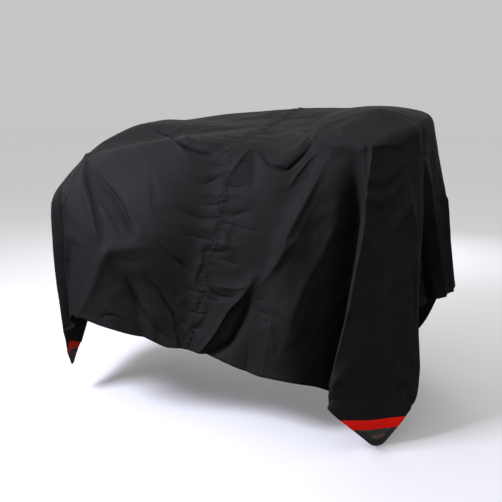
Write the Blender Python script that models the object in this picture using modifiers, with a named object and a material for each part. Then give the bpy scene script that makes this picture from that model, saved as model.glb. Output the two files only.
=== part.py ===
"""Drum set cover: one big sheet of black nylon, sewn from two panels, as it hangs in use.

Metres, +Z up. The origin is on the underside of the cloth, on the seam, at the middle of the top,
where what stands under the cover holds it up. The front of the cover faces -Y.

Every piece is a region of the flat sheet. drape() carries a point of the flat sheet to the place
where it hangs, so that neighbouring pieces always follow the same folds.
"""

import math

import bmesh
import bpy
import numpy as np

# The flat sheet, measured from the seam and from the point of the cloth that lies over the origin.
HALF_WIDTH = 1.375
FRONT_LENGTH = 1.19
BACK_LENGTH = 0.86
CLOTH = 0.002
SEWN_GAP = 0.0004
STEPS_DOWN = 24
FRONT_STEPS = 20
SIDE_STEPS = 20
BACK_STEPS = 14

# Height of the cloth's outer side above the floor at the origin. The floor is this far below the top.
TOP_HEIGHT = 1.165
TOP_SLOPE = 0.17

# A corner's red band, patch and binding. The cuts are measured along the sheet's edge from its corner.
BAND_CUT = 0.175
PATCH_CUT = 0.127
CORNER_RADIUS = 0.055
BINDING_WIDTH = 0.009
CORNER_STEPS = 9
LABEL_SIZE = (0.054, 0.017)
LABEL_THICKNESS = 0.001

# One row for each line of the cloth from the middle of the top down to the hem, all the way round.
# cut: its bearing on the flat sheet, from the front (-Y) towards the right (+X), in degrees.
# crest: the edge of the top. knee: where the fall changes slope. hem: the lower end.
# Each has a bearing, a reach from the origin's axis and a height above the floor.
SECTION_COLUMNS = (
    "cut",
    "crest_bearing", "crest_reach", "crest_height",
    "knee_bearing", "knee_reach", "knee_height",
    "hem_bearing", "hem_reach", "hem_height",
)
SECTIONS = (
    (-180, -178, 0.40, 1.262, -179, 0.45, 0.98, -180, 0.47, 0.76),
    (-155, -150, 0.46, 1.245, -152, 0.52, 0.92, -155, 0.55, 0.66),
    (-137, -128, 0.56, 1.225, -132, 0.62, 0.84, -137, 0.62, 0.48),
    (-122, -110, 0.64, 1.195, -117, 0.73, 0.75, -122, 0.78, 0.22),
    (-106, -97, 0.66, 1.195, -102, 0.80, 0.88, -104, 0.80, 0.45),
    (-90, -87, 0.66, 1.185, -87, 0.84, 1.00, -88, 0.86, 0.55),
    (-74, -79, 0.68, 1.165, -74, 0.90, 0.98, -74, 0.90, 0.46),
    (-60, -71, 0.76, 1.11, -63, 0.945, 0.92, -70, 0.87, 0.27),
    (-54.5, -69, 0.77, 1.09, -58.5, 0.955, 0.895, -61, 0.865, 0.205),
    (-49.1, -66, 0.78, 1.075, -55, 0.957, 0.885, -52, 0.895, 0.11),
    (-45, -64, 0.77, 1.068, -52, 0.94, 0.885, -49.5, 0.915, 0.215),
    (-41, -61, 0.75, 1.065, -49, 0.91, 0.885, -48.5, 0.915, 0.31),
    (-34, -54, 0.66, 1.09, -44.5, 0.88, 0.885, -44.7, 0.88, 0.395),
    (-26, -38, 0.52, 1.12, -31, 0.81, 0.72, -32, 0.80, 0.39),
    (-18, -24, 0.43, 1.12, -23, 0.70, 0.72, -20, 0.675, 0.345),
    (-9, -11, 0.38, 1.11, -11, 0.53, 0.75, -14, 0.61, 0.315),
    (0, 0, 0.37, 1.106, -3, 0.45, 0.773, -9.9, 0.575, 0.308),
    (9, 14, 0.38, 1.095, 10, 0.47, 0.74, 2, 0.55, 0.285),
    (17, 30, 0.43, 1.065, 23, 0.50, 0.73, 15, 0.55, 0.247),
    (26, 47, 0.44, 1.12, 34, 0.54, 0.72, 30, 0.60, 0.231),
    (33, 51, 0.53, 1.107, 47, 0.53, 0.70, 47, 0.54, 0.172),
    (38, 54.5, 0.61, 1.103, 60, 0.50, 0.66, 62, 0.46, 0.115),
    (43, 58, 0.66, 1.103, 48, 0.70, 0.60, 40.5, 0.755, 0.19),
    (49.1, 64, 0.68, 1.115, 56.5, 0.72, 0.60, 56.2, 0.773, -0.018),
    (55.5, 72, 0.70, 1.134, 66.5, 0.755, 0.60, 67.5, 0.81, 0.155),
    (61, 78, 0.71, 1.150, 73, 0.75, 0.62, 77, 0.75, 0.27),
    (67, 84, 0.715, 1.165, 83, 0.70, 0.62, 88, 0.62, 0.34),
    (80, 90, 0.715, 1.19, 97, 0.73, 0.80, 101, 0.76, 0.44),
    (94, 97, 0.675, 1.225, 105, 0.77, 0.80, 112, 0.84, 0.46),
    (104, 104, 0.61, 1.24, 111, 0.72, 0.75, 116, 0.80, 0.42),
    (113, 111, 0.54, 1.25, 117, 0.66, 0.70, 120.5, 0.75, 0.255),
    (122, 122, 0.48, 1.26, 126, 0.60, 0.60, 126, 0.687, 0.10),
    (136, 138, 0.42, 1.265, 139, 0.52, 0.80, 139, 0.56, 0.44),
    (155, 159, 0.39, 1.265, 157, 0.47, 0.95, 157, 0.49, 0.68),
)
CREST_ROUNDING = 0.05
KNEE_ROUNDING = 0.06

# Broad discs that stand under the cloth: they lift it into low cones with a fairly sharp rim.
# tilt is the slope of the disc, and its bearing is the way in which it slopes down.
PEAK_COLUMNS = ("x", "y", "radius", "rim_height", "cone", "tilt", "tilt_bearing")
PEAKS = (
    (0.508, -0.118, 0.236, 1.180, 0.060, 0.30, 14),
)
PEAK_SKIRT = 4.0
PEAK_SOFTNESS = 0.03

# Folds, each along a straight line of the flat sheet: ridges (rise above 0) and troughs (below 0).
# left and right are the widths of the slopes on the two sides, as seen on the way along the line.
FOLD_COLUMNS = ("from_x", "from_y", "to_x", "to_y", "left", "right", "rise")
FRONT_LEFT_FOLDS = (
    (-0.68, -0.42, -0.46, -0.72, 0.05, 0.05, 0.016),
    (-0.60, -0.42, -0.38, -0.76, 0.05, 0.07, -0.014),
    (-0.45, -0.90, -0.29, -0.85, 0.09, 0.05, 0.022),
    (-0.46, -0.92, -0.74, -1.19, 0.05, 0.05, 0.022),
    (-0.36, -1.00, -0.42, -1.19, 0.07, 0.07, -0.022),
    (-0.24, -0.80, -0.08, -0.96, 0.06, 0.05, 0.012),
    (-0.27, -0.93, -0.12, -1.10, 0.04, 0.05, -0.014),
    (-0.28, -0.50, -0.20, -0.66, 0.05, 0.06, 0.010),
    (-0.52, -0.17, -0.40, -0.23, 0.06, 0.06, -0.008),
    (-0.30, -0.29, -0.12, -0.41, 0.06, 0.06, -0.016),
    (-0.84, -0.60, -0.80, -0.95, 0.06, 0.06, -0.008),
)
FRONT_RIGHT_FOLDS = (
    (0.07, -0.38, 0.13, -0.43, 0.05, 0.05, -0.016),
    (0.17, -0.40, 0.20, -0.33, 0.05, 0.05, -0.010),
    (0.23, -0.42, 0.19, -0.53, 0.05, 0.05, 0.010),
    (0.28, -0.46, 0.31, -0.70, 0.06, 0.08, 0.020),
    (0.32, -0.76, 0.32, -0.82, 0.06, 0.10, 0.016),
    (0.20, -0.88, 0.09, -1.19, 0.05, 0.05, 0.022),
    (0.30, -0.95, 0.24, -1.14, 0.06, 0.06, -0.024),
    (0.10, -0.60, 0.16, -0.85, 0.06, 0.06, -0.010),
    (0.52, -0.70, 0.62, -1.19, 0.08, 0.08, -0.016),
    (0.66, -0.62, 0.90, -0.98, 0.05, 0.06, -0.010),
    (0.78, -0.62, 1.22, -1.00, 0.06, 0.06, 0.014),
    (0.94, -0.56, 1.35, -0.85, 0.05, 0.05, -0.012),
)
SIDE_AND_BACK_FOLDS = (
    (0.80, -0.20, 1.37, -0.40, 0.07, 0.08, -0.016),
    (0.98, -0.06, 1.37, -0.12, 0.07, 0.07, 0.020),
    (0.78, 0.10, 1.37, 0.18, 0.08, 0.08, -0.020),
    (0.72, 0.22, 1.37, 0.44, 0.07, 0.08, 0.018),
    (0.46, 0.50, 0.86, 0.86, 0.08, 0.07, -0.018),
    (0.20, 0.50, 0.30, 0.86, 0.07, 0.08, 0.016),
    (0.06, 0.50, 0.02, 0.86, 0.07, 0.07, -0.012),
    (-0.20, 0.50, -0.24, 0.86, 0.07, 0.08, 0.016),
    (-0.42, 0.54, -0.58, 0.86, 0.08, 0.07, -0.016),
    (-0.66, 0.50, -0.98, 0.86, 0.07, 0.08, 0.018),
    (-0.80, 0.26, -1.37, 0.40, 0.08, 0.08, -0.016),
    (-0.80, 0.06, -1.37, 0.10, 0.07, 0.08, 0.020),
    (-0.84, -0.14, -1.37, -0.20, 0.07, 0.07, -0.018),
    (-0.92, -0.34, -1.37, -0.50, 0.07, 0.07, 0.014),
)
FOLDS = FRONT_LEFT_FOLDS + FRONT_RIGHT_FOLDS + SIDE_AND_BACK_FOLDS

COLOURS = {
    "panel": (0.018, 0.018, 0.022, 1.0),
    "band": (0.80, 0.012, 0.004, 1.0),
    "patch": (0.026, 0.027, 0.025, 1.0),
    "binding": (0.010, 0.010, 0.010, 1.0),
    "label": (0.012, 0.012, 0.012, 1.0),
}
ROUGHNESS = {"panel": 0.55, "band": 0.5, "patch": 0.45, "binding": 0.6, "label": 0.6}


def columns(names, rows):
    table = np.array(rows, float)
    return {name: table[:, i] for i, name in enumerate(names)}


def around(at, knots, values):
    """Values of a closed smooth curve through the knots, whose bearings are in degrees."""
    knots = np.concatenate([knots[-2:] - 360, knots, knots[:2] + 360])
    values = np.concatenate([values[-2:], values, values[:2]])
    slopes = np.zeros(len(values))
    steps = np.diff(knots)
    rises = np.diff(values) / steps
    slopes[1:-1] = (rises[:-1] * steps[1:] + rises[1:] * steps[:-1]) / (steps[:-1] + steps[1:])
    i = np.clip(np.searchsorted(knots, at) - 1, 1, len(knots) - 3)
    width = steps[i]
    t = (at - knots[i]) / width
    start, end = values[i], values[i + 1]
    return (
        (2 * t**3 - 3 * t**2 + 1) * start
        + (t**3 - 2 * t**2 + t) * width * slopes[i]
        + (3 * t**2 - 2 * t**3) * end
        + (t**3 - t**2) * width * slopes[i + 1]
    )


def smooth_step(x, low, high):
    t = np.clip((x - low) / (high - low), 0, 1)
    return t * t * (3 - 2 * t)


def past(x, rounding):
    """How far x is past 0, with the corner at 0 rounded."""
    return (x + np.sqrt(x * x + rounding * rounding)) / 2


def ring(sections, name, cut):
    """The point of each line of cloth at the crest, knee or hem, for these bearings on the flat sheet."""
    bearing = cut + around(cut, sections["cut"], sections[name + "_bearing"] - sections["cut"])
    reach = around(cut, sections["cut"], sections[name + "_reach"])
    height = around(cut, sections["cut"], sections[name + "_height"])
    angle = np.radians(bearing)
    return np.stack([reach * np.sin(angle), -reach * np.cos(angle), height], -1)


def peak_height(point, peaks):
    """Height of each peak's cone over these points, far below the cloth where the peak ends."""
    heights = []
    for k in range(len(peaks["x"])):
        dx = point[..., 0] - peaks["x"][k]
        dy = point[..., 1] - peaks["y"][k]
        far = np.hypot(dx, dy) / peaks["radius"][k]
        bearing = math.radians(peaks["tilt_bearing"][k])
        downhill = dx * math.sin(bearing) - dy * math.cos(bearing)
        cone = peaks["cone"][k] * (1 - far) - PEAK_SKIRT * np.maximum(far - 1, 0) ** 2
        heights.append(peaks["rim_height"][k] + cone - peaks["tilt"][k] * downhill)
    return heights


def sheet_reach(cut):
    """Distance from the middle to the edge of the flat sheet at these bearings."""
    angle = np.radians(cut)
    across, back = np.abs(np.sin(angle)), -np.cos(angle)
    length = np.where(back < 0, FRONT_LENGTH, BACK_LENGTH)
    return 1 / np.maximum(across / HALF_WIDTH, np.abs(back) / length)


def fall_lines(sections, cut):
    """Stops on the way from the middle to the hem, and how much way a metre of cloth covers."""
    names = ("crest", "knee", "hem")
    rings = [ring(sections, name, sections["cut"]) for name in names]
    starts = [np.array([0.0, 0.0, TOP_HEIGHT]), *rings]
    lengths = sum(np.linalg.norm(b - a, axis=-1) for a, b in zip(starts, rings))
    stretch = around(cut, sections["cut"], lengths / sheet_reach(sections["cut"]))
    return [ring(sections, name, cut) for name in names], stretch


def hang(flat):
    """Carries points of the flat sheet, x across and y to the back, to where they hang, without folds."""
    sections = columns(SECTION_COLUMNS, SECTIONS)
    peaks = columns(PEAK_COLUMNS, PEAKS)
    cut = np.degrees(np.arctan2(flat[:, 0], -flat[:, 1]))
    rings, stretch = fall_lines(sections, cut)
    middle = np.array([0.0, 0.0, TOP_HEIGHT])
    stops = [middle + np.zeros((len(flat), 3)), *rings]
    runs = [b - a for a, b in zip(stops, stops[1:])]
    spans = [np.linalg.norm(run, axis=1) for run in runs]
    ways = [run / span[:, None] for run, span in zip(runs, spans)]
    gone = np.hypot(flat[:, 0], flat[:, 1]) * stretch
    share = gone / sum(spans)
    point = middle + ways[0] * gone[:, None]
    along_top = np.clip(gone / spans[0], 0, 1)
    off_plane = runs[0][:, 2] - TOP_SLOPE * runs[0][:, 1]
    point[:, 2] -= off_plane * along_top * (1 - along_top) ** 2
    reached = np.zeros(len(flat))
    for k, rounding in ((1, CREST_ROUNDING), (2, KNEE_ROUNDING)):
        reached = reached + spans[k - 1]
        beyond = past(gone - reached, rounding) - past(-reached, rounding)
        point = point + (ways[k] - ways[k - 1]) * beyond[:, None]

    on_top = 1 - smooth_step(gone - spans[0], -0.02, 0.06)
    for height in peak_height(point, peaks):
        lift = past(height - point[:, 2], PEAK_SOFTNESS)
        point[:, 2] += lift * on_top

    point[:, 2] -= TOP_HEIGHT - CLOTH
    return point


def outward(flat):
    """Unit normals of the hanging cloth, away from what it covers."""
    step = 1e-3
    across = hang(flat + [step, 0]) - hang(flat - [step, 0])
    back = hang(flat + [0, step]) - hang(flat - [0, step])
    normal = np.cross(across, back)
    return normal / np.linalg.norm(normal, axis=1)[:, None]


def drape(flat, lift=0.0):
    """Where points of the flat sheet hang, folds and all, this far outside the cloth's outer side."""
    rise = np.full(len(flat), lift)
    for from_x, from_y, to_x, to_y, left, right, height in FOLDS:
        way = np.array([to_x - from_x, to_y - from_y])
        gone = flat - [from_x, from_y]
        share = np.clip(gone @ way / (way @ way), 0, 1)
        apart = np.linalg.norm(gone - share[:, None] * way, axis=1)
        on_left = way[0] * gone[:, 1] - way[1] * gone[:, 0] > 0
        rise += height * np.exp(-((apart / np.where(on_left, left, right)) ** 2))
    return hang(flat) + rise[:, None] * outward(flat)


def material(kind):
    made = bpy.data.materials.get(kind) or bpy.data.materials.new(kind)
    made.use_nodes = True
    made.diffuse_color = COLOURS[kind]
    shader = made.node_tree.nodes["Principled BSDF"]
    shader.inputs["Base Color"].default_value = COLOURS[kind]
    shader.inputs["Roughness"].default_value = ROUGHNESS[kind]
    return made


def sew(name, kind, tool, collection, thickness=CLOTH, lift=0.0):
    """Hangs a flat piece of cloth and gives it its thickness.

    A lifted piece lies this far outside the cloth and has its thickness outwards.
    """
    bmesh.ops.remove_doubles(tool, verts=tool.verts, dist=1e-5)
    flat = np.array([vert.co[:2] for vert in tool.verts])
    for vert, place in zip(tool.verts, drape(flat, lift)):
        vert.co = place
    bmesh.ops.recalc_face_normals(tool, faces=tool.faces)
    mesh = bpy.data.meshes.new(name)
    tool.to_mesh(mesh)
    tool.free()
    mesh.shade_smooth()
    mesh.materials.append(material(kind))
    piece = bpy.data.objects.new(name, mesh)
    collection.objects.link(piece)
    solid = piece.modifiers.new("thickness", "SOLIDIFY")
    solid.thickness = thickness
    solid.offset = 1 if lift else -1
    return piece


def panel(name, side, collection):
    """Half of the sheet, cut across its two corners, in lines from its middle to its edge."""
    turns = (
        (0, -FRONT_LENGTH, FRONT_STEPS),
        (HALF_WIDTH - BAND_CUT, -FRONT_LENGTH, CORNER_STEPS),
        (HALF_WIDTH, BAND_CUT - FRONT_LENGTH, SIDE_STEPS),
        (HALF_WIDTH, BACK_LENGTH - BAND_CUT, CORNER_STEPS),
        (HALF_WIDTH - BAND_CUT, BACK_LENGTH, BACK_STEPS),
        (0, BACK_LENGTH, 0),
    )
    edge = [turns[-1][:2]]
    for (x, y, steps), (next_x, next_y, _) in reversed(list(zip(turns, turns[1:]))):
        edge += [(x + (next_x - x) * k / steps, y + (next_y - y) * k / steps) for k in reversed(range(steps))]
    tool = bmesh.new()
    bmesh.ops.create_grid(tool, x_segments=STEPS_DOWN, y_segments=len(edge) - 1, size=0.5)
    for vert in tool.verts:
        share = vert.co.x + 0.5
        x, y = edge[round((vert.co.y + 0.5) * (len(edge) - 1))]
        vert.co.x = side * (SEWN_GAP / 2 + share * (x - min(x, SEWN_GAP / 2)))
        vert.co.y = share * y
    return sew(name, "panel", tool, collection)


def chord(cut, inset, shares):
    """Points across a corner, as distances from it along the two edges, inset from both edges."""
    along = inset + (cut - 2 * inset) * np.asarray(shares)
    return np.stack([cut - along, along], -1)


def rounded_edge(cut, inset, shares):
    """Points round a corner from one end of its chord to the other, inset from the sheet's edge."""
    radius = CORNER_RADIUS - inset
    straight = cut - inset - CORNER_RADIUS
    quarter = radius * math.pi / 2
    points = []
    for gone in np.asarray(shares) * (2 * straight + quarter):
        if gone < straight:
            points.append((cut - inset - gone, inset))
        elif gone > straight + quarter:
            points.append((inset, CORNER_RADIUS + gone - straight - quarter))
        else:
            turn = (gone - straight) / radius
            points.append((CORNER_RADIUS - radius * math.sin(turn), CORNER_RADIUS - radius * math.cos(turn)))
    return np.array(points)


def strip(lines, corner):
    """A flat piece between two or more lines of points, measured from this corner of the sheet."""
    tool = bmesh.new()
    bmesh.ops.create_grid(tool, x_segments=len(lines[0]) - 1, y_segments=len(lines) - 1, size=0.5)
    side, edge = corner
    for vert in tool.verts:
        i = round((vert.co.x + 0.5) * (len(lines[0]) - 1))
        j = round((vert.co.y + 0.5) * (len(lines) - 1))
        p, q = lines[j][i]
        vert.co.x = side * (HALF_WIDTH - p)
        vert.co.y = edge - math.copysign(q, edge)
    return tool


def corner_pieces(corner_name, corner, labelled, collection):
    """The band, patch and binding of one corner, edge to edge, and the label on the patch."""
    gap = SEWN_GAP * math.sqrt(2)
    even = np.linspace(0, 1, CORNER_STEPS + 1)
    band = [chord(cut, 0, even) for cut in (BAND_CUT - gap, PATCH_CUT + gap)]
    sew("band_" + corner_name, "band", strip(band, corner), collection)

    width = math.sqrt(2) * (PATCH_CUT - 2 * BINDING_WIDTH)
    half_label = LABEL_SIZE[0] / width / 2
    height = PATCH_CUT / math.sqrt(2) - (math.sqrt(2) - 1) * CORNER_RADIUS - BINDING_WIDTH
    half_rise = LABEL_SIZE[1] / height / 2
    thirds = (0, 0.5 - half_label, 0.5 + half_label, 1)
    across = np.interp(np.linspace(0, 3, CORNER_STEPS + 1), range(4), thirds)
    down = np.interp(np.linspace(0, 3, 7), range(4), (0, 0.5 - half_rise, 0.5 + half_rise, 1))
    top = chord(PATCH_CUT, BINDING_WIDTH, across)
    bottom = rounded_edge(PATCH_CUT, BINDING_WIDTH, across)
    patch = [top + (bottom - top) * share for share in down]
    sew("patch_" + corner_name, "patch", strip(patch, corner), collection)
    if labelled:
        third = CORNER_STEPS // 3
        label = [line[third : 2 * third + 1] for line in patch[2:5]]
        sew("label", "label", strip(label, corner), collection, LABEL_THICKNESS, SEWN_GAP)

    binding = [rounded_edge(PATCH_CUT, inset, even) for inset in (BINDING_WIDTH - SEWN_GAP, 0)]
    sew("binding_" + corner_name, "binding", strip(binding, corner), collection)


def build():
    for obj in list(bpy.data.objects):
        bpy.data.objects.remove(obj, do_unlink=True)
    collection = bpy.data.collections.new("drum_set_cover")
    bpy.context.scene.collection.children.link(collection)
    panel("panel_left", -1, collection)
    panel("panel_right", 1, collection)
    for name, side, edge in (
        ("front_left", -1, -FRONT_LENGTH),
        ("front_right", 1, -FRONT_LENGTH),
        ("back_right", 1, BACK_LENGTH),
        ("back_left", -1, BACK_LENGTH),
    ):
        corner_pieces(name, (side, edge), name == "front_right", collection)


build()
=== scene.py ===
"""Drum set cover of black nylon, as it hangs in use: the looks of its cloth, seam, hems and corners."""
import math

import bmesh
import bpy
import numpy as np
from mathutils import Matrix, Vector, noise


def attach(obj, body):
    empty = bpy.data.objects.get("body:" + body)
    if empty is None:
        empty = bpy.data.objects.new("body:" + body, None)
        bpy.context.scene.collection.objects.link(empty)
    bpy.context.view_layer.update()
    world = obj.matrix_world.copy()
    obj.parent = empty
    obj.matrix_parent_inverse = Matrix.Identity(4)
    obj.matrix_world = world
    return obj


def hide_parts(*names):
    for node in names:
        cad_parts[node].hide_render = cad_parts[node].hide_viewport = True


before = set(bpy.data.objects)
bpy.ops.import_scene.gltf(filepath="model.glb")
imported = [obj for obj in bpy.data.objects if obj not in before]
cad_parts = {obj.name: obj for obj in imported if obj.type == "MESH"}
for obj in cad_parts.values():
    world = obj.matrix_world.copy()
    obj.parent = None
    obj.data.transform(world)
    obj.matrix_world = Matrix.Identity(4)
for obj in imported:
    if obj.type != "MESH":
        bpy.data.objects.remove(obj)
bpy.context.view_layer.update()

# The room: a pale floor under the hanging cover, a soft lamp at the front left, a weak one behind it, and
# an even sky. The floor throws little light back up, so that the lower folds stay dark. The camera stands
# at the front right, level with the top of the cover, and looks down a little.
FLOOR_DEPTH = 1.163
FLOOR_REACH = 30
FLOOR_SEEN = (0.62, 0.625, 0.64, 1)
FLOOR_THROWN = (0.10, 0.10, 0.105, 1)
SKY_TINT = (1.0, 0.99, 0.95, 1)
SKY_STRENGTH = 0.9
BACKDROP_SHADE = (0.56, 0.56, 0.56, 1)
LAMP_AIM = -0.35
EYE_HEIGHT = 1.25
EYE_PLACE = (1.184, -2.621, EYE_HEIGHT - FLOOR_DEPTH)
EYE_TILT = 77.35
EYE_TURN = 26
LENS = 46.33
FILM_WIDTH = 36


def placed(name, data):
    """A new object at the origin, linked to the scene."""
    made = bpy.data.objects.new(name, data)
    bpy.context.scene.collection.objects.link(made)
    return made


def shader_node(tree, kind, **values):
    """Adds a node to a shader and sets its inputs. _ stands for a space in an input's name."""
    node = tree.nodes.new(kind)
    for name, value in values.items():
        node.inputs[name.replace("_", " ")].default_value = value
    return node


def seen_and_thrown(tree, seen, thrown, output):
    """Shows one shader to the camera and lights the cover with the other."""
    mix = tree.nodes.new("ShaderNodeMixShader")
    rays = tree.nodes.new("ShaderNodeLightPath")
    tree.links.new(rays.outputs["Is Camera Ray"], mix.inputs[0])
    tree.links.new(thrown.outputs[0], mix.inputs[1])
    tree.links.new(seen.outputs[0], mix.inputs[2])
    tree.links.new(mix.outputs[0], tree.nodes[output].inputs["Surface"])


floor_turns = ((-1, -1), (1, -1), (1, 1), (-1, 1))
floor_corners = [(x * FLOOR_REACH, y * FLOOR_REACH, -FLOOR_DEPTH) for x, y in floor_turns]
floor_mesh = bpy.data.meshes.new("floor")
floor_mesh.from_pydata(floor_corners, [], [(0, 1, 2, 3)])
floor = placed("floor", floor_mesh)
floor_paint = bpy.data.materials.new("pale_floor")
floor_paint.use_nodes = True
floor_tree = floor_paint.node_tree
floor_tree.nodes.remove(floor_tree.nodes["Principled BSDF"])
seen_floor = shader_node(floor_tree, "ShaderNodeBsdfDiffuse", Color=FLOOR_SEEN)
thrown_floor = shader_node(floor_tree, "ShaderNodeBsdfDiffuse", Color=FLOOR_THROWN)
seen_and_thrown(floor_tree, seen_floor, thrown_floor, "Material Output")
floor_mesh.materials.append(floor_paint)

world = bpy.data.worlds.new("room")
bpy.context.scene.world = world
world.use_nodes = True
sky_tree = world.node_tree
fill_sky = sky_tree.nodes["Background"]
fill_sky.inputs["Color"].default_value = SKY_TINT
fill_sky.inputs["Strength"].default_value = SKY_STRENGTH
seen_sky = shader_node(sky_tree, "ShaderNodeBackground", Color=BACKDROP_SHADE)
seen_and_thrown(sky_tree, seen_sky, fill_sky, "World Output")


def add_lamp(name, bearing, elevation, distance, width, strength, colour):
    """A square soft lamp that faces the cover. Its bearing goes from the cover's front to its right."""
    data = bpy.data.lights.new(name, "AREA")
    data.size = width
    data.energy = strength
    data.color = colour
    light = placed(name, data)
    turn, lift = math.radians(bearing), math.radians(elevation)
    way = Vector((math.sin(turn) * math.cos(lift), -math.cos(turn) * math.cos(lift), math.sin(lift)))
    light.location = Vector((0, 0, LAMP_AIM)) + way * distance
    light.rotation_euler = way.to_track_quat("Z", "Y").to_euler()
    return light


add_lamp("front_lamp", -34, 35, 3.2, 1.0, 185, (0.84, 0.84, 1.0))
back_lamp = add_lamp("back_lamp", -164, 18, 3.5, 2.0, 60, (0.92, 0.92, 1.0))
back_lamp.visible_glossy = False

camera_data = bpy.data.cameras.new("camera")
camera_data.lens = LENS
camera_data.sensor_width = FILM_WIDTH
camera = placed("camera", camera_data)
camera.location = EYE_PLACE
camera.rotation_euler = (math.radians(EYE_TILT), 0, math.radians(EYE_TURN))
bpy.context.scene.camera = camera
bpy.context.scene.view_settings.view_transform = "Standard"


# The left panel: half of one big sheet of black coated nylon, plain woven. It is cut flat, hemmed
# along its outer edges and sewn to the right panel, and it falls over what stands under it. Its
# shape is worked out on the flat cloth: first the hang of the whole sheet, then each fold and crease.
HALF_WIDTH = 1.375
FRONT_LENGTH = 1.19
BACK_LENGTH = 0.86
BAND_CUT = 0.175
CLOTH = 0.0012
TOP_HEIGHT = 1.165
OUTER_SIDE = 0.002
TOP_SLOPE = 0.17
# One row for each line of the cloth from the middle of the top down to the hem: its bearing on the flat
# sheet, from the front to the right, then the bearing, reach and height of its crest, its knee and its hem.
HANG = (
    (-180, -178, 0.40, 1.262, -179, 0.45, 0.98, -180, 0.47, 0.76),
    (-155, -150, 0.46, 1.245, -152, 0.52, 0.92, -155, 0.55, 0.66),
    (-137, -128, 0.56, 1.225, -132, 0.62, 0.84, -137, 0.62, 0.48),
    (-122, -110, 0.64, 1.195, -117, 0.73, 0.75, -122, 0.78, 0.22),
    (-106, -97, 0.66, 1.195, -102, 0.80, 0.88, -104, 0.80, 0.45),
    (-90, -87, 0.66, 1.185, -87, 0.84, 1.00, -88, 0.86, 0.55),
    (-74, -79, 0.68, 1.165, -74, 0.90, 0.98, -74, 0.90, 0.46),
    (-60, -71, 0.76, 1.11, -63, 0.945, 0.92, -70, 0.87, 0.27),
    (-54.5, -69, 0.77, 1.09, -58.5, 0.955, 0.895, -61, 0.865, 0.205),
    (-49.1, -66, 0.78, 1.075, -55, 0.957, 0.885, -52, 0.895, 0.11),
    (-45, -64, 0.77, 1.068, -52, 0.94, 0.885, -49.5, 0.915, 0.215),
    (-41, -61, 0.75, 1.065, -49, 0.91, 0.885, -48.5, 0.915, 0.31),
    (-34, -54, 0.66, 1.09, -44.5, 0.88, 0.885, -44.7, 0.88, 0.395),
    (-26, -38, 0.52, 1.12, -31, 0.81, 0.72, -32, 0.80, 0.39),
    (-18, -24, 0.43, 1.12, -23, 0.70, 0.72, -20, 0.675, 0.345),
    (-9, -11, 0.38, 1.11, -11, 0.53, 0.75, -14, 0.61, 0.315),
    (0, 0, 0.37, 1.106, -0.5, 0.484, 0.768, -9.9, 0.575, 0.308),
    (9, 14, 0.38, 1.095, 10.5, 0.478, 0.74, 2, 0.55, 0.285),
    (17, 30, 0.43, 1.065, 23.7, 0.486, 0.73, 15, 0.55, 0.247),
    (26, 47, 0.44, 1.12, 33.7, 0.551, 0.72, 30, 0.60, 0.231),
    (33, 51, 0.53, 1.107, 46.8, 0.562, 0.70, 45, 0.566, 0.176),
    (38, 54.5, 0.61, 1.103, 62.1, 0.560, 0.85, 56.6, 0.563, 0.128),
    (43, 58, 0.66, 1.103, 48, 0.70, 0.60, 40.5, 0.755, 0.19),
    (49.1, 64, 0.68, 1.115, 56.5, 0.72, 0.60, 56.2, 0.773, -0.018),
    (55.5, 72, 0.70, 1.134, 66.5, 0.755, 0.60, 67.5, 0.81, 0.155),
    (61, 78, 0.71, 1.150, 73, 0.75, 0.62, 77, 0.75, 0.27),
    (67, 84, 0.715, 1.165, 83, 0.70, 0.62, 88, 0.62, 0.34),
    (80, 90, 0.715, 1.19, 97, 0.73, 0.80, 101, 0.76, 0.44),
    (94, 97, 0.675, 1.225, 105, 0.77, 0.80, 112, 0.84, 0.46),
    (104, 104, 0.61, 1.24, 111, 0.72, 0.75, 116, 0.80, 0.42),
    (113, 111, 0.54, 1.25, 117, 0.66, 0.70, 120.5, 0.75, 0.255),
    (122, 122, 0.48, 1.26, 126, 0.60, 0.60, 126, 0.687, 0.10),
    (136, 138, 0.42, 1.265, 139, 0.52, 0.80, 139, 0.56, 0.44),
    (155, 159, 0.39, 1.265, 157, 0.47, 0.95, 157, 0.49, 0.68),
)
CREST_ROUNDING = 0.05
KNEE_ROUNDING = 0.06
# The broad low cone at the right: a round edge under the cloth, which rises from it to a blunt point.
CONE_MIDDLE = (0.508, -0.118)
CONE_RADIUS = 0.236
CONE_HEIGHT = 1.180
CONE_RISE = 0.060
CONE_TILT = 0.30
CONE_TILT_BEARING = 14
CONE_SKIRT = 4.0
CONE_SOFTNESS = 0.007
CONE_FADE = (-0.02, 0.06)


def around(at, knots, values):
    """Values of a closed smooth curve through the knots, whose bearings are in degrees."""
    knots = np.concatenate([knots[-2:] - 360, knots, knots[:2] + 360])
    values = np.concatenate([values[-2:], values, values[:2]])
    slopes = np.zeros(len(values))
    steps = np.diff(knots)
    rises = np.diff(values) / steps
    slopes[1:-1] = (rises[:-1] * steps[1:] + rises[1:] * steps[:-1]) / (steps[:-1] + steps[1:])
    i = np.clip(np.searchsorted(knots, at) - 1, 1, len(knots) - 3)
    width = steps[i]
    t = (at - knots[i]) / width
    return (
        (2 * t**3 - 3 * t**2 + 1) * values[i]
        + (t**3 - 2 * t**2 + t) * width * slopes[i]
        + (3 * t**2 - 2 * t**3) * values[i + 1]
        + (t**3 - t**2) * width * slopes[i + 1]
    )


def smooth_step(x, low, high):
    """Rises smoothly from 0 at low to 1 at high."""
    t = np.clip((x - low) / (high - low), 0, 1)
    return t * t * (3 - 2 * t)


def past(x, rounding):
    """How far x is past 0, with the corner at 0 rounded."""
    return (x + np.sqrt(x * x + rounding * rounding)) / 2


row_cuts, *stop_columns = np.array(HANG, float).T


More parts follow.
